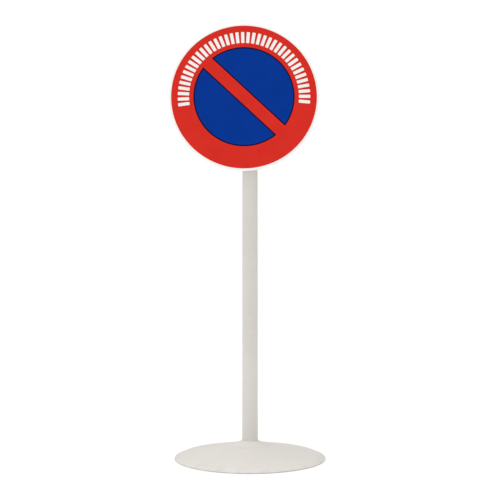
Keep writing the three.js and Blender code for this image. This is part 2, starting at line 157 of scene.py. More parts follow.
def colour(code):
    """A linear colour from the usual six-figure code."""
    parts = [int(code[i : i + 2], 16) / 255 for i in (1, 3, 5)]
    return (*(((p + 0.055) / 1.055) ** 2.4 if p > 0.04045 else p / 12.92 for p in parts), 1)


def link(name, mesh, sharp=30):
    """An object at the origin for a finished mesh, smooth but for the edges sharper than that angle."""
    thing = bpy.data.objects.new(name, mesh)
    scene.collection.objects.link(thing)
    mesh.shade_smooth()
    mesh.set_sharp_from_angle(angle=radians(sharp))
    return thing


def grown(name, tree, sizes, sharp=30):
    """What a Geometry Nodes tree makes with these named sizes, as a plain mesh object."""
    host = bpy.data.objects.new(name, bpy.data.meshes.new(name))
    scene.collection.objects.link(host)
    modifier = host.modifiers.new(name, "NODES")
    modifier.node_group = tree
    for item in tree.interface.items_tree:
        if item.in_out == "INPUT" and item.name in sizes:
            modifier[item.identifier] = sizes[item.name]
    shaped = host.evaluated_get(bpy.context.evaluated_depsgraph_get())
    mesh = bpy.data.meshes.new_from_object(shaped)
    host.modifiers.remove(modifier)
    bpy.data.objects.remove(host)
    mesh.name = name
    return link(name, mesh, sharp)


class Shaper(Graph):
    """A Geometry Nodes tree with named inputs. It ends in Realize Instances and Set Material."""

    def __init__(self, name, **kinds):
        super().__init__(bpy.data.node_groups.new(name, "GeometryNodeTree"))
        interface = self.tree.interface
        for label, kind in {**kinds, "Finish": "Material"}.items():
            interface.new_socket(label.replace("_", " "), in_out="INPUT", socket_type="NodeSocket" + kind)
        interface.new_socket("Geometry", in_out="OUTPUT", socket_type="NodeSocketGeometry")
        self.entry = self.tree.nodes.new("NodeGroupInput")

    def given(self, label):
        return Value(self, self.entry.outputs[label])

    def end(self, shape):
        real = self.node("GeometryNodeRealizeInstances", {}, {0: shape})
        inputs = {"Geometry": real, "Material": self.given("Finish")}
        painted = self.node("GeometryNodeSetMaterial", {}, inputs)
        self.tree.links.new(painted.socket, self.tree.nodes.new("NodeGroupOutput").inputs[0])
        return self.tree


def turning_tree():
    """Turns an outline, drawn in X and Y, about the axis X = 0. The outline's Y becomes height."""
    shaper = Shaper("turning", Outline="Object", Sides="Int")
    hub = 0.25  # radius of the ring that the outline travels on, which may be any
    info = shaper.node("GeometryNodeObjectInfo", {}, {0: shaper.given("Outline")}, output="Geometry")
    inputs = {0: info, "Translation": (-hub, 0, 0), "Scale": (1, -1, 1)}
    moved = shaper.node("GeometryNodeTransform", {}, inputs)
    outline = shaper.node("GeometryNodeMeshToCurve", {}, {0: moved})
    inputs = {"Resolution": shaper.given("Sides"), "Radius": hub}
    ring = shaper.node("GeometryNodeCurvePrimitiveCircle", {"mode": "RADIUS"}, inputs)
    upright = shaper.node("GeometryNodeSetCurveNormal", {"mode": "Z_UP"}, {0: ring})
    skin = shaper.node("GeometryNodeCurveToMesh", {}, {0: upright, 1: outline})
    inputs = {"Geometry": skin, "Distance": 0.001 * MM}
    return shaper.end(shaper.node("GeometryNodeMergeByDistance", {}, inputs))


TURNING = turning_tree()


def facing_out(thing):
    """Makes sure that a closed mesh's faces all point outwards."""
    shape = bmesh.new()
    shape.from_mesh(thing.data)
    bmesh.ops.remove_doubles(shape, verts=shape.verts, dist=0.0005 * MM)
    bmesh.ops.recalc_face_normals(shape, faces=shape.faces)
    shape.to_mesh(thing.data)
    shape.free()
    return thing


def turned(name, outline, sides, finish):
    """A solid turned about Z from (radius, height) points, which close on themselves or on the axis."""
    closed = outline[0][0] > 0
    edges = [(i, i + 1) for i in range(len(outline) - 1)]
    if closed:
        edges.append((len(outline) - 1, 0))
    drawing = bpy.data.meshes.new(name)
    drawing.from_pydata([(radius, height, 0) for radius, height in outline], edges, [])
    template = bpy.data.objects.new(name + "_outline", drawing)
    thing = grown(name, TURNING, {"Outline": template, "Sides": sides, "Finish": finish})
    bpy.data.objects.remove(template)
    return facing_out(thing)


def rounded(outline, *radii, closed=True):
    """The outline with each corner made an arc. One radius serves for all; 0 leaves a corner sharp."""
    count = len(outline)
    sizes = radii if len(radii) == count else radii * count
    smooth = []
    for i, corner in enumerate(outline):
        here = Vector(corner)
        before = Vector(outline[i - 1]) - here
        after = Vector(outline[(i + 1) % count]) - here
        at_end = not closed and i in (0, count - 1)
        half = before.angle(after) / 2
        if at_end or sizes[i] == 0 or pi / 2 - half < radians(1):
            smooth.append(tuple(corner))
            continue
        back = min(sizes[i] / tan(half), 0.49 * before.length, 0.49 * after.length)
        inwards = (before.normalized() + after.normalized()).normalized()
        centre = here + inwards * back / cos(half)
        start = here + before.normalized() * back - centre
        way = 1 if before.cross(after) < 0 else -1
        steps = max(2, round((pi - 2 * half) / radians(12)))
        for step in range(steps + 1):
            turn = Matrix.Rotation(way * (pi - 2 * half) * step / steps, 2)
            smooth.append(tuple(centre + turn @ start))
    return smooth


def grid_tree():
    """Copies a piece on a flat grid, only within a reach of the middle, each turned a little at random."""
    shaper = Shaper(
        "copies_on_a_grid",
        Piece="Object", Columns="Int", Rows="Int", Column_spacing="Float", Row_spacing="Float",
        Reach="Float", Turn="Float", Seed="Int",
    )
    columns, rows = shaper.given("Columns"), shaper.given("Rows")
    sizes = {
        "Size X": (columns - 1) * shaper.given("Column spacing"),
        "Size Y": (rows - 1) * shaper.given("Row spacing"),
        "Vertices X": columns,
        "Vertices Y": rows,
    }
    grid = shaper.node("GeometryNodeMeshGrid", {}, sizes)
    away = shaper.node("GeometryNodeInputPosition")
    away = shaper.node("ShaderNodeVectorMath", {"operation": "LENGTH"}, {0: away}, output="Value")
    turn = shaper.given("Turn")
    limits = {2: 0 - turn, 3: turn, "Seed": shaper.given("Seed")}
    angle = shaper.node("FunctionNodeRandomValue", {"data_type": "FLOAT"}, limits, output=1)
    spin = shaper.node("ShaderNodeCombineXYZ", {}, {"Z": angle})
    piece = shaper.node("GeometryNodeObjectInfo", {}, {0: shaper.given("Piece")}, output="Geometry")
    inputs = {"Points": grid, "Selection": away < shaper.given("Reach"), "Instance": piece, "Rotation": spin}
    return shaper.end(shaper.node("GeometryNodeInstanceOnPoints", {}, inputs))


GRID = grid_tree()


def united(name, *things):
    """One piece made of several closed meshes."""
    shape = bmesh.new()
    for thing in things:
        shape.from_mesh(thing.data)
    mesh = bpy.data.meshes.new(name)
    shape.to_mesh(mesh)
    shape.free()
    mesh.materials.append(things[0].data.materials[0])
    for thing in things:
        bpy.data.objects.remove(thing)
    return link(name, mesh)


def rides(piece, body, slot, *replaced):
    """Fixes a piece to its body and hides the plain solids that it stands for. slot is not used."""
    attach(piece, body)
    if replaced:
        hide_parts(*replaced)


def black_rubber():
    rubber = Finish("black_rubber")
    clouds = rubber.noise(30 * MM, 5)
    dust = rubber.step(rubber.noise(90 * MM, 6), 0.45, 0.75)
    skin = rubber.mix(clouds, colour("#131314"), colour("#242425"))
    return rubber.feed(
        Base_Color=rubber.mix(dust * 0.35, skin, colour("#6b655c")),
        Roughness=0.7 + 0.25 * clouds,
        Normal=rubber.bump(rubber.noise(0.8 * MM, 3), 0.04 * MM),
    )


mat_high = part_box("floor_mat")[1]
STUD_HEIGHT = 1.2 * MM
STUD_ROOT = 3.2 * MM
STUD_TIP = 2.3 * MM
STUD_PITCH = 11 * MM
STUD_MARGIN = 6 * MM  # bare rubber round the edge
STUD_SUNK = 0.2 * MM  # how far a stud's root goes into the disc
rubber = black_rubber()
mat_radius = mat_high.x
mat_outline = [(0, STUD_HEIGHT), (mat_radius, STUD_HEIGHT), (mat_radius, mat_high.z), (0, mat_high.z)]
mat_disc = turned("mat_disc", rounded(mat_outline, 0.5 * MM, closed=False), 144, rubber)
stud_top = STUD_HEIGHT + STUD_SUNK
stud_outline = [(0, 0), (STUD_TIP, 0), (STUD_ROOT, stud_top), (0, stud_top)]
stud = turned("stud", stud_outline, 12, rubber)
across = int(2 * mat_radius / STUD_PITCH)
studs = grown("studs", GRID, {
    "Piece": stud, "Columns": across, "Rows": across, "Column spacing": STUD_PITCH,
    "Row spacing": STUD_PITCH, "Reach": mat_radius - STUD_MARGIN, "Turn": 0.0, "Seed": 0, "Finish": rubber,
})
bpy.data.objects.remove(stud)
mat = united("rubber_mat", mat_disc, studs)
rides(mat, "base", "mat_rubber", "floor_mat")


# ---------------------------------------- iron weight
# A disc of grey cast iron, left as it came from the sand and dipped in black primer. It lies under
# the cover and keeps the stand upright.


def dress(finish, *names):
    """Gives a finish to plain solids that stay in the model."""
    for name in names:
        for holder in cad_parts[name].material_slots:
            holder.material = finish


def sand_cast_iron():
    iron = Finish("sand_cast_iron")
    grain = iron.noise(3 * MM, 6)
    rust = iron.step(iron.noise(40 * MM, 6), 0.55, 0.7)
    return iron.feed(
        Base_Color=iron.mix(rust * 0.6, colour("#3b3936"), colour("#6a4630")),
        Metallic=0.5 - 0.4 * rust,
        Roughness=0.65 + 0.3 * grain,
        Normal=iron.bump(grain, 0.5 * MM),
    )


dress(sand_cast_iron(), "ballast")


# ---------------------------------------- spigot and tie bolt
# A turned steel stub with a flange stands on the cover, screwed down through it into the iron. The
# post stands over the stub, and a long bolt from below pulls the post down. All of it is plated.


SPANGLE = 5 * MM


def galvanised_steel():
    """Hot-dip zinc: dull grey feathery crystals some millimetres across, with a little white bloom."""
    zinc = Finish("galvanised_steel")
    wander = zinc.node("ShaderNodeVectorMath", {"operation": "MULTIPLY_ADD"}, {
        0: zinc.noise(3 * MM, 3), 1: (1.5 * MM, 1.5 * MM, 1.5 * MM), 2: zinc.place,
    })
    inputs = {"Vector": wander, "Scale": 1 / SPANGLE}
    crystals = zinc.node("ShaderNodeTexVoronoi", {"feature": "F1"}, inputs, output="Color")
    crystals = zinc.node("ShaderNodeSeparateColor", {}, {"Color": crystals})
    feathers = zinc.noise(1.2 * MM, 5, stretch=(1, 1, 0.3))
    bloom = zinc.step(zinc.noise(35 * MM, 5), 0.52, 0.75)
    metal = zinc.mix(crystals * 0.6 + feathers * 0.4, colour("#a3a7a9"), colour("#bcc0c1"))
    return zinc.feed(
        Base_Color=zinc.mix(bloom * 0.55, metal, colour("#cfd0cc")),
        Metallic=0.9 - 0.35 * bloom,
        Roughness=0.4 + 0.1 * crystals + 0.1 * feathers + 0.15 * bloom,
        Normal=zinc.bump(crystals * 0.3 + feathers * 0.7, 0.04 * MM),
    )


def bright_zinc():
    """Electro-plated zinc: smooth and bright, with a faint straw tint in places."""
    zinc = Finish("bright_zinc")
    tint = zinc.noise(12 * MM, 3)
    scratches = zinc.noise(0.5 * MM, 3, stretch=(1, 0.15, 1))
    return zinc.feed(
        Base_Color=zinc.mix(tint, colour("#c9ccca"), colour("#d3cfba")),
        Metallic=1.0,
        Roughness=0.22 + 0.15 * tint + 0.1 * scratches,
        Normal=zinc.bump(scratches, 0.01 * MM),
    )


galvanised = galvanised_steel()
plated = bright_zinc()
dress(galvanised, "spigot")
dress(plated, "tie_bolt", "tie_washer", "flange_screw_1", "flange_screw_2", "flange_screw_3")


# ---------------------------------------- cover
# A dish of 2 mm steel sheet, spun over a former: a low cone, a steeper band at the crease, and a
# rim whose edge is folded in underneath. It is powder coated in a warm off-white.

COAT = "#dfdbd5"
COAT_SHADE = "#dad6cf"
# The grime colour serves for specks and floor dirt, and also for painted shade higher up the post.
GRIME_AND_SHADE = "#a39b8c"


def powder_coat(name, spun=0.0, floor_dirt=0.0, chips=0.0, upper_shade=0.0):
    """Baked powder paint. spun is how far the spinning lines under it show, from 0 to 1, floor_dirt
    how grimy it is near the floor, and chips how much of a low edge is knocked bare. The last
    setting is how far the paint is darkened from 0.15 m up, towards the grime colour: painted shade."""
    coat = Finish(name)
    clouds = coat.noise(180 * MM, 4)
    mottle = coat.noise(14 * MM, 4)
    peel = coat.noise(2.2 * MM, 2)
    specks = coat.step(coat.noise(2.5 * MM, 1), 0.77, 0.8)
    paint = coat.mix(coat.step(clouds * 0.7 + mottle * 0.3, 0.35, 0.7), colour(COAT), colour(COAT_SHADE))
    paint = coat.mix(specks * 0.3, paint, colour(GRIME_AND_SHADE))
    low = 1 - coat.step(coat.z, 0, 14 * MM)
    dirt = low * coat.step(coat.noise(24 * MM, 6), 0.4, 0.8) * floor_dirt
    paint = coat.mix(dirt, paint, colour(GRIME_AND_SHADE))
    # Painted shade: from 0.15 m up, the paint is darkened towards the grime colour.
    paint = coat.mix(upper_shade * coat.step(coat.z, 0.15, 0.4), paint, colour(GRIME_AND_SHADE))
    edge = 1 - coat.step(coat.z, 2.2 * MM, 3.4 * MM)
    bare = edge * coat.step(coat.noise(9 * MM, 5), 0.66, 0.7) * chips
    radius = coat.node("ShaderNodeVectorMath", {"operation": "MULTIPLY"}, {0: coat.place, 1: (1, 1, 0)})
    radius = coat.node("ShaderNodeVectorMath", {"operation": "LENGTH"}, {0: radius}, output="Value")
    inputs = {"W": radius, "Scale": 1 / (7 * MM), "Detail": 3.0}
    lines = coat.node("ShaderNodeTexNoise", {"noise_dimensions": "1D"}, inputs)
    relief = coat.bump(lines, 0.12 * MM * spun) if spun else None
    return coat.feed(
        Base_Color=coat.mix(bare, paint, colour("#77716a")),
        Roughness=0.42 + 0.12 * mottle + 0.2 * dirt,
        Metallic=0.7 * bare,
        Normal=coat.bump(peel, 0.035 * MM, relief),
    )


cover_low, cover_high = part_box("base_shell")
COVER_SHEET = 2 * MM
COVER_SEAT = 48 * MM  # radius of the flat that the spigot stands on
COVER_BEVEL = 20 * MM
COVER_BEVEL_SLOPE = 0.39
COVER_CONE_SLOPE = 0.188
COVER_LIP = 12 * MM
POST_HOLE = 23.5 * MM
rim_radius = cover_high.x
rim_top = cover_low.z + COVER_SHEET
crease_radius = rim_radius - COVER_BEVEL
crease_height = rim_top + COVER_BEVEL * COVER_BEVEL_SLOPE


def cone_height(radius):
    return crease_height + (crease_radius - radius) * COVER_CONE_SLOPE


SEAT_STEP = 0.8 * MM
seat_height = cone_height(COVER_SEAT) - SEAT_STEP
shoulder = COVER_SEAT + COVER_SHEET
cover_outline = rounded(
    [
        (POST_HOLE, seat_height - COVER_SHEET),
        (COVER_SEAT, seat_height - COVER_SHEET),
        (shoulder, cone_height(shoulder) - COVER_SHEET),
        (crease_radius, crease_height - COVER_SHEET),
        (rim_radius - COVER_SHEET / COVER_BEVEL_SLOPE, rim_top),
        (rim_radius - COVER_LIP, rim_top),
        (rim_radius - COVER_LIP, cover_low.z),
        (rim_radius, cover_low.z),
        (rim_radius, rim_top - 0.2 * MM),
        (crease_radius, crease_height),
        (shoulder, cone_height(shoulder)),
        (COVER_SEAT, seat_height),
        (POST_HOLE, seat_height),
    ],
    0.3 * MM, 2 * MM, 2 * MM, 8 * MM, 0.3 * MM, 0.5 * MM, 0.5 * MM,
    1 * MM, 1 * MM, 16 * MM, 2 * MM, 2 * MM, 0.3 * MM,
)
cover = turned("cover", cover_outline, 256, powder_coat("cover_coat", spun=1.0, floor_dirt=0.3, chips=0.9))
rides(cover, "base", "base_paint", "base_shell")


# ---------------------------------------- collar
# A thin spun cone that slips down over the post and hides the foot of the tube and the flange. It
# lies on the cover with a feathered edge, and is painted with it.

collar_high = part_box("neck_collar")[1]
COLLAR_SHEET = 1.5 * MM
COLLAR_EDGE = 0.35 * MM
COLLAR_EDGE_SLANT = 0.1 * MM
COLLAR_BORE = 23.3 * MM
COLLAR_LAND = 1.5 * MM
COLLAR_STEPS = 14
COLLAR_CROWDING = 1.5  # over 1, the outline's points crowd towards the post, where it turns most
COLLAR_STRAIGHT = 0.72  # share of the height that a plain cone would give
COLLAR_SWEEP = 4.84  # how sharply the rest of the height turns from steep to flat
collar_radius = collar_high.x
land_radius = COLLAR_BORE + COLLAR_LAND
collar_seat = cone_height(collar_radius)
collar_rise = collar_high.z - collar_seat - COLLAR_EDGE
flare = []
for i in range(COLLAR_STEPS + 1):
    out = (i / COLLAR_STEPS) ** COLLAR_CROWDING
    swept = 1 - (1 - out) ** COLLAR_SWEEP
    drop = COLLAR_STRAIGHT * out + (1 - COLLAR_STRAIGHT) * swept
    flare.append((land_radius + (collar_radius - land_radius) * out, collar_high.z - collar_rise * drop))
inside = [(radius, max(height - COLLAR_SHEET, cone_height(radius))) for radius, height in flare[:-1]]
inside = [point for point in inside if point[0] > COLLAR_BORE]
collar_outline = [
    (COLLAR_BORE, collar_high.z - COLLAR_SHEET),
    *inside,
    (collar_radius - COLLAR_EDGE_SLANT, collar_seat),
    (collar_radius, collar_seat + COLLAR_EDGE / 2),
    *reversed(flare),
    (COLLAR_BORE, collar_high.z),
]
collar = turned("collar", collar_outline, 160, powder_coat("collar_coat", spun=0.4))
rides(collar, "base", "base_paint", "neck_collar")


# ---------------------------------------- post
# A length of 46 mm steel tube, powder coated like the cover. A tapped disc is welded inside its
# foot, and a push-in plug of dark grey plastic closes its top.

tube_low, tube_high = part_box("post_tube")
TUBE_WALL = 2.5 * MM
tube_radius = tube_high.x
tube_bore = tube_radius - TUBE_WALL
tube_outline = rounded(
    [
        (tube_bore, tube_low.z), (tube_radius, tube_low.z),
        (tube_radius, tube_high.z), (tube_bore, tube_high.z),
    ],
    0.5 * MM,
)
# The post's paint is darkened a little from 0.15 m up: painted shade.
tube = turned("tube", tube_outline, 128, powder_coat("post_coat", upper_shade=0.08))
rides(tube, "post", "post_paint", "post_tube")
dress(galvanised, "post_anchor")


def moulded_plastic():
    """Dark grey plastic from a spark-etched mould, a little dusty and rubbed."""
    plastic = Finish("moulded_plastic")
    grain = plastic.noise(0.5 * MM, 2)
    rubbed = plastic.step(plastic.noise(20 * MM, 5), 0.5, 0.7)
    return plastic.feed(
        Base_Color=plastic.mix(rubbed * 0.5, colour("#3a3c3f"), colour("#54565a")),
        Roughness=0.62 - 0.15 * rubbed,
        Normal=plastic.bump(grain, 0.03 * MM),
    )


plastic = moulded_plastic()
cap_low, cap_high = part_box("post_cap")
CAP_HEAD = 3 * MM
CAP_PLUG_AIR = 0.3 * MM
CAP_GATE = 1.5 * MM  # radius of the dimple that the mould's gate leaves
CAP_GATE_DEPTH = 0.35 * MM
cap_seat = cap_high.z - CAP_HEAD
cap_outline = rounded(
    [
        (0, cap_low.z),
        (tube_bore - CAP_PLUG_AIR, cap_low.z),
        (tube_bore - CAP_PLUG_AIR, cap_seat),
        (tube_radius, cap_seat),
        (tube_radius, cap_seat + 1.3 * MM),
        (tube_radius - 4 * MM, cap_high.z - 0.4 * MM),
        (CAP_GATE, cap_high.z),
        (CAP_GATE * 0.6, cap_high.z - CAP_GATE_DEPTH),
        (0, cap_high.z - CAP_GATE_DEPTH),
    ],
    0, 1 * MM, 0.2 * MM, 0.3 * MM, 1.2 * MM, 6 * MM, 0.2 * MM, 0.2 * MM, 0,
    closed=False,
)
cap = turned("cap", cap_outline, 96, plastic)
rides(cap, "post", "cap_plastic", "post_cap")


# ---------------------------------------- straps
# Two pieces of 30 by 3 mm galvanised strip, each bent round the back of the post with an ear at
# either side. Each ear has one hole for a bolt.

STRIP = 3 * MM
STRIP_BEND = 3 * MM  # inside radius of the bend into the ear
STRIP_SOFTNESS = 0.45 * MM
STRAP_AIR = 0.3 * MM
BOLT_HOLE = 4.5 * MM


def prism(name, outline, low, high, finish, softness=0.0):
    """A flat outline made as thick along Z as from low to high, with its hard edges softened."""
    shape = bmesh.new()
    face = shape.faces.new([shape.verts.new((x, y, low)) for x, y in outline])
    lifted = bmesh.ops.extrude_face_region(shape, geom=[face])["geom"]
    moving = [item for item in lifted if isinstance(item, bmesh.types.BMVert)]
    bmesh.ops.translate(shape, verts=moving, vec=(0, 0, high - low))
    bmesh.ops.recalc_face_normals(shape, faces=shape.faces)
    if softness:
        hard = [edge for edge in shape.edges if edge.calc_face_angle(0) > radians(40)]
        bmesh.ops.bevel(shape, geom=hard, offset=softness, segments=3, profile=0.5, affect="EDGES")
    mesh = bpy.data.meshes.new(name)
    shape.to_mesh(mesh)
    shape.free()
    mesh.materials.append(finish)
    return link(name, mesh)


def worked(thing, operation, *tools):
    """Cuts other solids out of a piece, or joins them to it."""
    for tool in tools:
        modifier = thing.modifiers.new(operation, "BOOLEAN")
        modifier.operation = operation
        modifier.solver = "EXACT"
        modifier.object = tool
    shaped = thing.evaluated_get(bpy.context.evaluated_depsgraph_get())
    mesh = bpy.data.meshes.new_from_object(shaped)
    thing.modifiers.clear()
    thing.data = mesh
    for tool in tools:
        bpy.data.objects.remove(tool)
    mesh.set_sharp_from_angle(angle=radians(30))
    return thing


def placed(thing, matrix):
    """Puts a piece where it belongs by its mesh, and leaves its object at the origin."""
    thing.data.transform(matrix)
    return thing


def arc(centre, radius, start, end, steps):
    """Points along an arc, whose ends are given in degrees."""
    angles = [radians(start + (end - start) * i / steps) for i in range(steps + 1)]
    return [(centre[0] + radius * cos(a), centre[1] + radius * sin(a)) for a in angles]


ALONG_Y = Matrix.Rotation(radians(-90), 4, "X")  # turns what stands along +Z to lie along +Y
upper_low, upper_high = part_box("strap_upper")
lower_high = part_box("strap_lower")[1]
strap_half = (upper_high.z - upper_low.z) / 2
strap_levels = {"upper": upper_high.z - strap_half, "lower": lower_high.z - strap_half}
strap_bore = tube_radius + STRAP_AIR
strap_outer = strap_bore + STRIP
ear_front = upper_low.y
ear_back = ear_front + STRIP
bend_place = (strap_outer + STRIP_BEND, ear_back + STRIP_BEND)
bolt_low, bolt_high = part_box("bolt_upper_right")
bolt_x = (bolt_low.x + bolt_high.x) / 2

right_half = [
    *arc((0, 0), strap_bore, 90, 0, 24),
    *arc(bend_place, STRIP_BEND + STRIP, 180, 270, 9),
    (upper_high.x, ear_front),
    (upper_high.x, ear_back),
    *arc(bend_place, STRIP_BEND, 270, 180, 9),
    *arc((0, 0), strap_outer, 0, 90, 24),
]
left_half = [(-x, y) for x, y in reversed(right_half[1:-1])]
for level, middle in strap_levels.items():
    name = "bent_strap_" + level
    strap = prism(name, right_half + left_half, -strap_half, strap_half, galvanised, STRIP_SOFTNESS)
    drills = []
    for x in (-bolt_x, bolt_x):
        drill = prism("drill", arc((0, 0), BOLT_HOLE, 0, 350, 35), 0, 3 * STRIP, galvanised)
        drills.append(placed(drill, Matrix.Translation((x, ear_front - STRIP, 0)) @ ALONG_Y))
    worked(strap, "DIFFERENCE", *drills)
    placed(strap, Matrix.Translation((0, 0, middle)))
    rides(strap, "clamps", "galvanised", "strap_" + level)


# ---------------------------------------- hammer-head bolts
# Four plated M8 bolts. Their long heads pass through the slots of the rails and are turned upright
# behind them. The shanks are threaded all the way.

BOLT_RADIUS = 4 * MM
THREAD_PITCH = 1.25 * MM
THREAD_DEPTH = 0.65 * MM
HEAD_SOFTNESS = 0.7 * MM
HEAD_CORNER = 1.5 * MM


def thread_tree():
    """A rod along Z from 0 to its length, with a right-hand thread that runs out at its tip."""
    shaper = Shaper(
        "threaded_rod",
        Radius="Float", Length="Float", Pitch="Float", Depth="Float", Sides="Int", Rows="Int",
    )
    radius = shaper.given("Radius")
    length = shaper.given("Length")
    depth = shaper.given("Depth")
    inputs = {
        "Vertices": shaper.given("Sides"),
        "Side Segments": shaper.given("Rows"),
        "Radius": radius,
        "Depth": length,
    }
    rod = shaper.node("GeometryNodeMeshCylinder", {"fill_type": "NGON"}, inputs)
    lift = shaper.node("ShaderNodeCombineXYZ", {}, {"Z": length * 0.5})
    rod = shaper.node("GeometryNodeTransform", {}, {0: rod, "Translation": lift})
    place = shaper.node("GeometryNodeInputPosition")
    x, y, z = shaper.parts(place)
    turns = shaper.maths("ARCTAN2", y, x) / (2 * pi)
    groove = shaper.maths("PINGPONG", z / shaper.given("Pitch") - turns, 0.5) * 2
    cut = shaper.maths("MAXIMUM", groove * depth, depth - (length - z))
    inwards = 1 - cut / radius
    inputs = {"X": x * inwards, "Y": y * inwards, "Z": z}
    inputs = {0: rod, "Position": shaper.node("ShaderNodeCombineXYZ", {}, inputs)}
    return shaper.end(shaper.node("GeometryNodeSetPosition", {}, inputs))


def box_outline(low, high):
    """The four corners of an upright rectangle."""
    return [(low[0], low[1]), (high[0], low[1]), (high[0], high[1]), (low[0], high[1])]


THREADED_ROD = thread_tree()
ROWS_PER_TURN = 8
bolt_reach = bolt_high.y - bolt_low.y
HEAD_THICK = 5 * MM
shank = grown("shank", THREADED_ROD, {
    "Radius": BOLT_RADIUS, "Length": bolt_reach, "Pitch": THREAD_PITCH, "Depth": THREAD_DEPTH,
    "Sides": 32, "Rows": round(bolt_reach / THREAD_PITCH * ROWS_PER_TURN), "Finish": plated,
})
head_x = (bolt_high.x - bolt_low.x) / 2
head_z = (bolt_high.z - bolt_low.z) / 2
head_outline = rounded(box_outline((-head_x, -head_z), (head_x, head_z)), HEAD_CORNER)
hammer = prism("hammer", head_outline, 0, HEAD_THICK, plated, HEAD_SOFTNESS)
bolt = worked(hammer, "UNION", shank)


def at_the_clamps(name, piece, finish, turn=0.0, seed=0):
    """A copy of a clamp's piece at each of the four bolts, from a piece that stands on Z = 0."""
    rows = strap_levels["upper"] - strap_levels["lower"]
    four = grown(name, GRID, {
        "Piece": piece, "Columns": 2, "Rows": 2, "Column spacing": 2 * bolt_x, "Row spacing": rows,
        "Reach": 10.0, "Turn": turn, "Seed": seed, "Finish": finish,
    })
    bpy.data.objects.remove(piece)
    return four


def corners(kind):
    return [f"{kind}_{level}_{side}" for level in ("upper", "lower") for side in ("left", "right")]


def fixed_at_the_clamps(four, kind):
    """Lays the four copies along +Y, starting where the plain solids of that kind do."""
    middle = (strap_levels["upper"] + strap_levels["lower"]) / 2
    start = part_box(kind + "_upper_left")[0].y
    placed(four, Matrix.Translation((0, start, middle)) @ ALONG_Y)
    rides(four, "clamps", "zinc_plate", *corners(kind))


fixed_at_the_clamps(at_the_clamps("hammer_head_bolts", bolt, plated), "bolt")


# ---------------------------------------- washers and nuts
# Behind each ear, on its bolt: a stamped washer, a spring washer wound from square wire, and a
# hexagon nut. All are plated like the bolts.

washer_low, washer_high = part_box("washer_upper_right")
washer_thick = washer_high.y - washer_low.y
washer_outer = (washer_high.x - washer_low.x) / 2
WASHER_BORE = 4.3 * MM
washer_outline = rounded(
    [(WASHER_BORE, 0), (washer_outer, 0), (washer_outer, washer_thick), (WASHER_BORE, washer_thick)],
    0.1 * MM, 0.35 * MM, 0.2 * MM, 0.3 * MM,
)
washer = turned("washer", washer_outline, 64, plated)
fixed_at_the_clamps(at_the_clamps("washers", washer, plated), "washer")


def spring_tree():
    """A ring of square wire, cut through and sprung a little apart, standing on Z = 0."""
    shaper = Shaper(
        "spring_ring",
        Radius="Float", Width="Float", Thickness="Float", Softness="Float", Turns="Float", Rise="Float",
    )
    radius = shaper.given("Radius")
    inputs = {
        "Resolution": 72,
        "Rotations": shaper.given("Turns"),
        "Start Radius": radius,
        "End Radius": radius,
        "Height": shaper.given("Rise"),
    }
    coil = shaper.node("GeometryNodeCurveSpiral", {}, inputs)
    inputs = {"Width": shaper.given("Width"), "Height": shaper.given("Thickness")}
    wire = shaper.node("GeometryNodeCurvePrimitiveQuadrilateral", {}, inputs)
    inputs = {"Curve": wire, "Radius": shaper.given("Softness"), "Count": 3}
    wire = shaper.node("GeometryNodeFilletCurve", {"mode": "POLY"}, inputs)
    upright = shaper.node("GeometryNodeSetCurveNormal", {"mode": "Z_UP"}, {0: coil})
    inputs = {0: upright, 1: wire, "Fill Caps": True}
    ring = shaper.node("GeometryNodeCurveToMesh", {}, inputs)
    lift = shaper.node("ShaderNodeCombineXYZ", {}, {"Z": shaper.given("Thickness") * 0.5})
    return shaper.end(shaper.node("GeometryNodeTransform", {}, {0: ring, "Translation": lift}))


spring_low, spring_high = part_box("lock_washer_upper_right")
spring_thick = spring_high.y - spring_low.y
spring_outer = (spring_high.x - spring_low.x) / 2
SPRING_BORE = 4.3 * MM
SPRING_RISE = 0.3 * MM
spring = grown("spring", spring_tree(), {
    "Radius": (SPRING_BORE + spring_outer) / 2, "Width": spring_outer - SPRING_BORE,
    "Thickness": spring_thick - SPRING_RISE, "Softness": 0.3 * MM, "Turns": 0.96, "Rise": SPRING_RISE,
    "Finish": plated,
})
facing_out(spring)
springs = at_the_clamps("spring_washers", spring, plated, turn=pi, seed=4)
fixed_at_the_clamps(springs, "lock_washer")

nut_low, nut_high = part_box("nut_upper_right")
nut_thick = nut_high.y - nut_low.y
NUT_FLATS = 13 * MM
NUT_BORE = 4.1 * MM
NUT_BORE_MOUTH = 4.6 * MM
NUT_CHAMFER = radians(30)
nut_corner = NUT_FLATS / 2 / cos(radians(30))
nut_face = 0.47 * NUT_FLATS  # radius where the chamfer starts
chamfer_height = (nut_corner - nut_face) * tan(NUT_CHAMFER)
nut = prism("nut", arc((0, 0), nut_corner, 0, 300, 5), 0, nut_thick, plated)
blank = turned("blank", [
    (0, 0), (nut_face, 0), (nut_corner, chamfer_height),
    (nut_corner, nut_thick - chamfer_height), (nut_face, nut_thick), (0, nut_thick),
], 96, plated)
worked(nut, "INTERSECT", blank)
mouth_depth = NUT_BORE_MOUTH - NUT_BORE
BORE_PAST = MM  # how far the tool that cuts the bore goes past each face
bore = turned("bore", [
    (0, -BORE_PAST), (NUT_BORE_MOUTH + BORE_PAST, -BORE_PAST), (NUT_BORE, mouth_depth),
    (NUT_BORE, nut_thick - mouth_depth), (NUT_BORE_MOUTH + BORE_PAST, nut_thick + BORE_PAST),
    (0, nut_thick + BORE_PAST),
], 48, plated)
worked(nut, "DIFFERENCE", bore)
fixed_at_the_clamps(at_the_clamps("hexagon_nuts", nut, plated, turn=pi, seed=11), "nut")


# ---------------------------------------- sign plate
# A disc of steel sheet, pressed so that its edge turns back all round, and enamelled white on both
# sides. A 6 mm border of the enamel shows round the red.

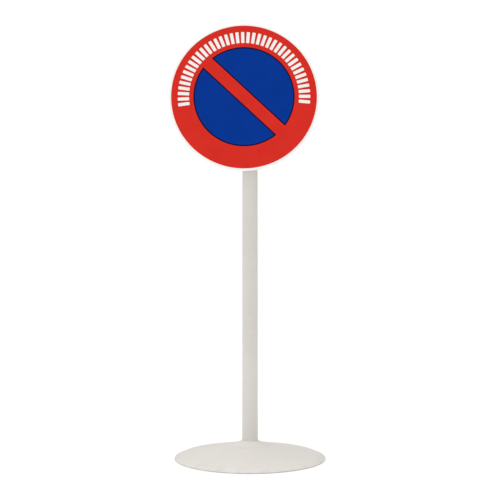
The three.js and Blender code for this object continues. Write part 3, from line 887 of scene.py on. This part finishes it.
FACING = Matrix.Rotation(radians(90), 4, "X")  # turns what lies flat, seen from above, to face -Y
plate_low, plate_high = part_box("sign_plate")
plate_radius = (plate_high.x - plate_low.x) / 2
PLATE_THICK = 1.5 * MM
plate_middle = (plate_low + plate_high) / 2
on_plate = Matrix.Translation((plate_middle.x, 0, plate_middle.z)) @ FACING
plate_front = -plate_low.y
plate_rear = -plate_high.y


def enamel():
    """White stove enamel, a little dusty on its back."""
    coat = Finish("white_enamel", (plate_middle.x, plate_middle.y, plate_middle.z))
    clouds = coat.noise(90 * MM, 4)
    peel = coat.noise(3 * MM, 2)
    dust = coat.step(coat.noise(50 * MM, 6, stretch=(1, 1, 0.4)), 0.5, 0.8)
    dust = dust * coat.step(coat.y, -3 * MM, 0)
    paint = coat.mix(clouds, colour("#fdfbf8"), colour("#f8f6f2"))
    return coat.feed(
        Base_Color=coat.mix(dust * 0.35, paint, colour("#b9b2a4")),
        Roughness=0.3 + 0.1 * clouds + 0.25 * dust,
        Normal=coat.bump(peel, 0.02 * MM),
    )


plate_outline = rounded(
    [
        (0, plate_front - PLATE_THICK),
        (plate_radius - PLATE_THICK, plate_front - PLATE_THICK),
        (plate_radius - PLATE_THICK, plate_rear),
        (plate_radius, plate_rear),
        (plate_radius, plate_front),
        (0, plate_front),
    ],
    0, 1.5 * MM, 0.4 * MM, 0.6 * MM, 3 * MM, 0,
    closed=False,
)
plate = turned("pressed_plate", plate_outline, 256, enamel())
placed(plate, on_plate)
rides(plate, "sign", "sign_white", "sign_plate")


# ---------------------------------------- red and blue film
# Die-cut reflective sheeting, stuck to the enamel: a red ring with its diagonal band in one piece,
# and the two blue fields that it frames. The blue is darker where its edge tucks under the red.

red_low, red_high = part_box("red_layer")
film_thick = red_high.y - red_low.y
RED_RADIUS = (red_high.x - red_low.x) / 2
FIELD_RADIUS = 152 * MM
BAND_WIDTH = 38 * MM
BAND_ANGLE = radians(-43.3)
TUCK = 4.2 * MM  # how wide the dark strip looks
BLUE_SUNK = 0.1 * MM  # how far the blue lies behind the red's face


def sheeting(name, light, dark, edge=None):
    """Sign film with glass beads under a clear face: finely speckled, faintly streaked."""
    film = Finish(name, (plate_middle.x, plate_middle.y, plate_middle.z))
    beads = film.noise(0.6 * MM, 2)
    clouds = film.noise(60 * MM, 4)
    streaks = film.noise(5 * MM, 4, stretch=(0.15, 1, 1))
    paint = film.mix(film.step(clouds * 0.6 + beads * 0.4, 0.3, 0.7), colour(light), colour(dark))
    if edge:
        paint = film.mix(near_field_edge(film), paint, colour(edge))
    return film.feed(
        Base_Color=paint,
        Roughness=0.36 + 0.14 * streaks,
        Specular_IOR_Level=0.05,
        Normal=film.bump(beads, 0.012 * MM),
    )


def near_field_edge(film):
    """1 in a narrow strip along the edges of the blue fields, and 0 elsewhere."""
    out = film.node("ShaderNodeVectorMath", {"operation": "LENGTH"}, {0: film.place}, output="Value")
    across = film.x * -sin(BAND_ANGLE) + film.z * cos(BAND_ANGLE)
    across = film.maths("ABSOLUTE", across)
    from_ring = FIELD_RADIUS - out
    from_band = across - BAND_WIDTH / 2
    nearest = film.maths("MINIMUM", from_ring, from_band)
    return 1 - film.step(nearest, TUCK * 0.75, TUCK)


red_film = sheeting("red_film", "#de3126", "#d62b21")
blue_film = sheeting("blue_film", "#003797", "#00348f", edge="#030522")


def field_outline(side):
    """Half of the round field: side is 1 for the upper right half and -1 for the lower left."""
    start = BAND_ANGLE + asin(BAND_WIDTH / 2 / FIELD_RADIUS)
    end = BAND_ANGLE + pi - asin(BAND_WIDTH / 2 / FIELD_RADIUS)
    points = arc((0, 0), FIELD_RADIUS, degrees(start), degrees(end), 96)
    return [(side * x, side * y) for x, y in points]


def cut_film(name, loops, low, high, finish):
    """Film cut along closed loops: what lies inside the first and outside the others."""
    shape = bmesh.new()
    edges = []
    for loop in loops:
        points = [shape.verts.new((x, y, low)) for x, y in loop]
        edges += [shape.edges.new((points[i - 1], points[i])) for i in range(len(points))]
    filled = bmesh.ops.triangle_fill(shape, use_beauty=True, use_dissolve=False, edges=edges)["geom"]
    faces = [item for item in filled if isinstance(item, bmesh.types.BMFace)]
    lifted = bmesh.ops.extrude_face_region(shape, geom=faces)["geom"]
    moving = [item for item in lifted if isinstance(item, bmesh.types.BMVert)]
    bmesh.ops.translate(shape, verts=moving, vec=(0, 0, high - low))
    bmesh.ops.recalc_face_normals(shape, faces=shape.faces)
    mesh = bpy.data.meshes.new(name)
    shape.to_mesh(mesh)
    shape.free()
    mesh.materials.append(finish)
    return placed(link(name, mesh), on_plate)


fields = {"upper": field_outline(1), "lower": field_outline(-1)}
film_front = plate_front + film_thick
round_edge = arc((0, 0), RED_RADIUS, 0, 358, 179)
red = cut_film("red_sheeting", [round_edge, *fields.values()], plate_front, film_front, red_film)
rides(red, "sign", "sign_red", "red_layer")
for level, outline in fields.items():
    blue = cut_film("blue_sheeting_" + level, [outline], plate_front, film_front - BLUE_SUNK, blue_film)
    rides(blue, "sign", "sign_blue", "blue_layer_" + level)


# ---------------------------------------- white dashes
# A row of plain white dashes, cut from the same sheeting, goes round the top of the red ring.

DASH_WIDTH = 9.6 * MM
DASH_LENGTH = 34 * MM
DASH_CORNER = 1.8 * MM
DASH_RING = 182 * MM
DASH_COUNT = 39
DASH_START = radians(-5)
DASH_END = radians(187.5)


def ring_tree():
    """Copies of a piece round part of a circle, each with its Y axis pointing outwards."""
    shaper = Shaper(
        "copies_round_an_arc",
        Piece="Object", Count="Int", Radius="Float", Start="Float", Sweep="Float",
    )
    inputs = {
        "Resolution": shaper.given("Count"),
        "Radius": shaper.given("Radius"),
        "Start Angle": shaper.given("Start"),
        "Sweep Angle": shaper.given("Sweep"),
    }
    path = shaper.node("GeometryNodeCurveArc", {"mode": "RADIUS"}, inputs)
    place = shaper.node("GeometryNodeInputPosition")
    outwards = shaper.node("FunctionNodeAlignRotationToVector", {"axis": "Y"}, {"Vector": place})
    piece = shaper.node("GeometryNodeObjectInfo", {}, {0: shaper.given("Piece")}, output="Geometry")
    inputs = {"Points": path, "Instance": piece, "Rotation": outwards}
    return shaper.end(shaper.node("GeometryNodeInstanceOnPoints", {}, inputs))


white_film = sheeting("white_film", "#fcfaf6", "#f6f4ef")
half_wide = DASH_WIDTH / 2
half_tall = DASH_LENGTH / 2
dash_outline = rounded(box_outline((-half_wide, -half_tall), (half_wide, half_tall)), DASH_CORNER)
dash = prism("dash", dash_outline, film_front, film_front + film_thick / 2, white_film)
dashes = grown("white_dashes", ring_tree(), {
    "Piece": dash, "Count": DASH_COUNT, "Radius": DASH_RING, "Start": DASH_START,
    "Sweep": DASH_END - DASH_START, "Finish": white_film,
})
bpy.data.objects.remove(dash)
placed(dashes, on_plate)
rides(dashes, "sign", "sign_white")


# ---------------------------------------- rails
# Two channels, roll-formed from 2 mm galvanised strip, lie across the back of the plate. A slot
# runs along each for the bolts' heads.

rail_low, rail_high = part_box("rail_upper")
RAIL_WALL = 2 * MM
RAIL_SLOT = 9.4 * MM
RAIL_BEND = 3 * MM  # outside radius of the four bends
ALONG_X = Matrix(((0, 0, 1, 0), (1, 0, 0, 0), (0, 1, 0, 0), (0, 0, 0, 1)))  # X to Y, Y to Z, Z to X
rail_half = (rail_high.z - rail_low.z) / 2
inner_half = rail_half - RAIL_WALL
rail_outline = rounded(
    [
        (rail_high.y, RAIL_SLOT / 2), (rail_high.y, rail_half),
        (rail_low.y, rail_half), (rail_low.y, -rail_half),
        (rail_high.y, -rail_half), (rail_high.y, -RAIL_SLOT / 2),
        (rail_high.y - RAIL_WALL, -RAIL_SLOT / 2), (rail_high.y - RAIL_WALL, -inner_half),
        (rail_low.y + RAIL_WALL, -inner_half), (rail_low.y + RAIL_WALL, inner_half),
        (rail_high.y - RAIL_WALL, inner_half), (rail_high.y - RAIL_WALL, RAIL_SLOT / 2),
    ],
    0.4 * MM, RAIL_BEND, RAIL_BEND, RAIL_BEND, RAIL_BEND, 0.4 * MM,
    0.4 * MM, RAIL_BEND - RAIL_WALL, RAIL_BEND - RAIL_WALL, RAIL_BEND - RAIL_WALL,
    RAIL_BEND - RAIL_WALL, 0.4 * MM,
)
for level, middle in strap_levels.items():
    rail = prism("slotted_rail_" + level, rail_outline, rail_low.x, rail_high.x, galvanised)
    placed(rail, Matrix.Translation((0, 0, middle)) @ ALONG_X)
    rides(rail, "sign", "galvanised", "rail_" + level)


# ---------------------------------------- weld beads
# Short beads along both edges of each rail tack it to the plate. They were laid by hand and then
# painted over with zinc, so no two lie quite alike.

BEAD_LENGTH = 14 * MM
BEAD_RADIUS = 1.7 * MM
BEADS = 6
BEAD_MARGIN = 24 * MM
BEAD_RIPPLE = 1.6 * MM  # from one ripple to the next
BEAD_RIPPLE_DEPTH = 0.09  # share of the bead's radius
BEAD_LIFT = 0.6 * MM  # from the plate's back to the bead's middle


def weld_bead(finish):
    """One rippled bead along X, round in section and thinner at its ends."""
    shape = bmesh.new()
    rings = 64
    sides = 14
    loops = []
    for i in range(1, rings):
        along = -cos(pi * i / rings)
        swell = (1 - along * along) ** 0.25
        ripple = 1 + BEAD_RIPPLE_DEPTH * cos(pi * along * BEAD_LENGTH / BEAD_RIPPLE)
        points = arc((0, 0), BEAD_RADIUS * swell * ripple, 0, 360 - 360 / sides, sides - 1)
        loops.append([shape.verts.new((along * BEAD_LENGTH / 2, y, z)) for y, z in points])
    for first, second in zip(loops, loops[1:]):
        for i in range(sides):
            shape.faces.new((first[i - 1], first[i], second[i], second[i - 1]))
    for loop, end in ((loops[0], -1), (loops[-1], 1)):
        tip = shape.verts.new((end * BEAD_LENGTH / 2, 0, 0))
        for i in range(sides):
            shape.faces.new((loop[i - 1], loop[i], tip))
    bmesh.ops.recalc_face_normals(shape, faces=shape.faces)
    mesh = bpy.data.meshes.new("bead")
    shape.to_mesh(mesh)
    shape.free()
    mesh.materials.append(finish)
    return link("bead", mesh)


def zinc_paint():
    """Brushed-on zinc-rich paint over a weld: matt, grey and grainy."""
    paint = Finish("zinc_paint")
    grain = paint.noise(1.2 * MM, 4)
    return paint.feed(
        Base_Color=paint.mix(grain, colour("#8b8e90"), colour("#a7aaab")),
        Metallic=0.4,
        Roughness=0.55 + 0.2 * grain,
        Normal=paint.bump(grain, 0.15 * MM),
    )


weld_finish = zinc_paint()
bead = weld_bead(weld_finish)
bead_spacing = (rail_high.x - rail_low.x - 2 * BEAD_MARGIN) / (BEADS - 1)
for seed, (level, middle) in enumerate(strap_levels.items()):
    beads = grown("weld_beads_" + level, GRID, {
        "Piece": bead, "Columns": BEADS, "Rows": 2, "Column spacing": bead_spacing,
        "Row spacing": 2 * rail_half, "Reach": 1.0, "Turn": radians(3), "Seed": seed,
        "Finish": weld_finish,
    })
    corner = ((rail_low.x + rail_high.x) / 2, rail_low.y + BEAD_LIFT, middle)
    placed(beads, Matrix.Translation(corner) @ FACING)
    rides(beads, "sign", "galvanised")
bpy.data.objects.remove(bead)


# ---------------------------------------- rail caps
# Four moulded plugs of dark grey plastic close the ends of the rails, so that the bolts can't run
# out of them.

CAP_PLATE = 2 * MM
PLUG_LENGTH = 10 * MM
PLUG_AIR = 0.3 * MM
CAP_PANEL = 0.5 * MM  # depth of the sunk panel on the outside
CAP_PANEL_MARGIN = 3 * MM
CAP_SOFTNESS = 0.4 * MM
CAP_PANEL_CORNER = 1 * MM
PLUG_CORNER = 0.8 * MM
PLUG_SUNK = 0.2 * MM  # how far the stem starts inside the lid


for level, middle in strap_levels.items():
    for side, way in (("left", -1), ("right", 1)):
        node = f"rail_cap_{level}_{side}"
        low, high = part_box(node)
        outside = high.x if way > 0 else low.x
        inside = outside - way * CAP_PLATE
        outer = rounded(box_outline((low.y, -rail_half), (high.y, rail_half)), RAIL_BEND)
        panel_low = (low.y + CAP_PANEL_MARGIN, CAP_PANEL_MARGIN - rail_half)
        panel_high = (high.y - CAP_PANEL_MARGIN, rail_half - CAP_PANEL_MARGIN)
        panel = rounded(box_outline(panel_low, panel_high), CAP_PANEL_CORNER)
        gap = RAIL_WALL + PLUG_AIR
        plug_low = (rail_low.y + gap, gap - rail_half)
        plug_high = (rail_high.y - gap, rail_half - gap)
        plug = rounded(box_outline(plug_low, plug_high), PLUG_CORNER)
        lid_ends = sorted((outside, inside))
        panel_ends = sorted((outside - way * CAP_PANEL, outside + way * MM))
        stem_ends = sorted((inside + way * PLUG_SUNK, inside - way * PLUG_LENGTH))
        lid = prism("lid", outer, *lid_ends, plastic, CAP_SOFTNESS)
        worked(lid, "DIFFERENCE", prism("panel", panel, *panel_ends, plastic))
        worked(lid, "UNION", prism("stem", plug, *stem_ends, plastic))
        lid.name = "end_" + node
        placed(lid, Matrix.Translation((0, 0, middle)) @ ALONG_X)
        rides(lid, "sign", "cap_plastic", node)


# ---------------------------------------- floor, light and camera
# The stand is on a pale floor that runs into a white surround. A wide soft light comes from above
# on the left, and the surround fills the shade.

FLOOR_HALF = 40.0
floor_mesh = bpy.data.meshes.new("floor")
floor_outline = box_outline((-FLOOR_HALF, -FLOOR_HALF), (FLOOR_HALF, FLOOR_HALF))
floor_mesh.from_pydata([(x, y, 0) for x, y in floor_outline], [], [(0, 1, 2, 3)])
floor = bpy.data.objects.new("floor", floor_mesh)
scene.collection.objects.link(floor)
floor_mesh.materials.append(Finish("pale_floor").feed(Base_Color=(1, 1, 1, 1), Roughness=0.9))

SURROUND_LIGHT = 0.52
SURROUND_SEEN = 1.0
world = bpy.data.worlds.new("surround")
world.use_nodes = True
scene.world = world
surround = Graph(world.node_tree)
seen = surround.node("ShaderNodeLightPath", output="Is Camera Ray")
strength = SURROUND_LIGHT + seen * (SURROUND_SEEN - SURROUND_LIGHT)
background = world.node_tree.nodes["Background"]
background.inputs["Color"].default_value = (1, 1, 1, 1)
world.node_tree.links.new(strength.socket, background.inputs["Strength"])

LAMP_ANGLE = radians(90)  # how wide each lamp looks from the stand, so that its shadows are soft
LAMPS = {  # how bright it makes a surface that faces it, its height, and how far round from the front
    "overhead": (0.42, 90, 0),
    "left": (0.155, 30, -90),
    "front": (0.09, 30, 0),
}
for name, (brightness, height, side) in LAMPS.items():
    light = bpy.data.lights.new(name, "SUN")
    light.energy = brightness * pi
    light.angle = LAMP_ANGLE
    lamp = bpy.data.objects.new(name, light)
    lamp.rotation_euler = (radians(90 - height), 0, radians(side))
    scene.collection.objects.link(lamp)

LENS = 52.4
CAMERA_PLACE = (0, -2.179, 0.427)
CAMERA_TILT = 4.81  # degrees above level
camera = bpy.data.objects.new("camera", bpy.data.cameras.new("camera"))
camera.data.lens = LENS
camera.data.sensor_width = 36
camera.location = CAMERA_PLACE
camera.rotation_euler = (radians(90 + CAMERA_TILT), 0, 0)
scene.collection.objects.link(camera)
scene.camera = camera
scene.view_settings.view_transform = "Standard"
